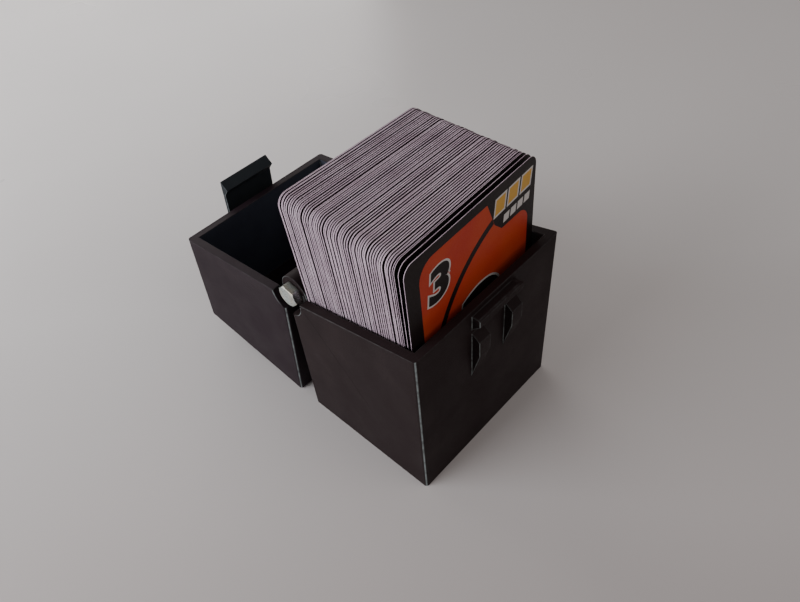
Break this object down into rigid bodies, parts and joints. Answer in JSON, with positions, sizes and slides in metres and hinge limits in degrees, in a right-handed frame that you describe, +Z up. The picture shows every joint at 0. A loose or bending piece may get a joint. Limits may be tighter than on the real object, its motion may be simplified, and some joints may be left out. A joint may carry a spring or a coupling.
{
  "type": "hinged card deck box",
  "caption": "Upright box for a deck of cards with a bolt-hinged flip-over lid, a snap tongue and a catch bar, standing open with the deck in it.",
  "frame": {"origin": "centre of the base box's underside", "axes": "+Z up, -Y out of the front wall with the catch, +X along the hinge axis; the open lid lies on the +Y side"},
  "size_m": [0.064, 0.1165, 0.0899],
  "materials": {
    "base_print": "satin dark brown-black print",
    "lid_print": "satin dark brown-black print",
    "tongue_print": "satin dark print",
    "bolt_steel": "zinc plated",
    "nut_steel": "zinc plated",
    "card_paper": "coated card"
  },
  "bodies": {
    "base": {"base_box": "base_print", "hinge_bolt": "bolt_steel", "hinge_nut": "nut_steel", "card_001": "card_paper", "card_002": "card_paper", "card_003": "card_paper", "card_004": "card_paper", "cards_005_006": "card_paper", "cards_007_008": "card_paper", "cards_009_010": "card_paper", "cards_011_012": "card_paper", "cards_013_014": "card_paper", "cards_015_016": "card_paper", "cards_017_018": "card_paper", "cards_019_020": "card_paper", "cards_021_022": "card_paper", "cards_023_024": "card_paper", "cards_025_026": "card_paper", "cards_027_028": "card_paper", "cards_029_030": "card_paper", "cards_031_032": "card_paper", "cards_033_034": "card_paper", "cards_035_036": "card_paper", "cards_037_038": "card_paper", "cards_039_040": "card_paper", "cards_041_042": "card_paper", "cards_043_044": "card_paper", "cards_045_046": "card_paper", "cards_047_048": "card_paper", "cards_049_050": "card_paper", "cards_051_052": "card_paper", "cards_053_054": "card_paper", "cards_055_056": "card_paper", "cards_057_058": "card_paper", "cards_059_060": "card_paper", "cards_061_062": "card_paper", "cards_063_064": "card_paper", "cards_065_066": "card_paper", "cards_067_068": "card_paper", "cards_069_070": "card_paper", "cards_071_072": "card_paper", "cards_073_074": "card_paper", "cards_075_076": "card_paper", "cards_077_078": "card_paper", "cards_079_080": "card_paper", "cards_081_082": "card_paper", "cards_083_084": "card_paper", "cards_085_086": "card_paper", "cards_087_088": "card_paper", "cards_089_090": "card_paper", "cards_091_092": "card_paper", "cards_093_094": "card_paper", "cards_095_096": "card_paper", "cards_097_098": "card_paper", "cards_099_100": "card_paper", "cards_101_102": "card_paper", "cards_103_105": "card_paper", "cards_106_108": "card_paper"},
    "lid": {"lid_box": "lid_print"},
    "tongue": {"latch_tongue": "tongue_print"}
  },
  "joints": [
    {"name": "lid_hinge", "type": "hinge", "parent": "base", "child": "lid", "pos_m": [0, 0.0271, 0.0522], "axis": [1, 0, 0], "range_deg": [-6, 174], "deforming": ["card_001", "card_002", "card_003", "card_004", "cards_005_006", "cards_007_008", "cards_009_010", "cards_011_012", "cards_013_014", "cards_015_016", "cards_017_018", "cards_019_020", "cards_021_022", "cards_023_024", "cards_025_026", "cards_027_028", "cards_029_030", "cards_031_032", "cards_033_034", "cards_103_105", "cards_106_108"]},
    {"name": "tongue_flex", "type": "hinge", "parent": "lid", "child": "tongue", "pos_m": [0, 0.08629, 0.03248], "axis": [-1, 0, 0], "range_deg": [0, 8], "stiffness_Nm_per_rad": 0.2}
  ]
}
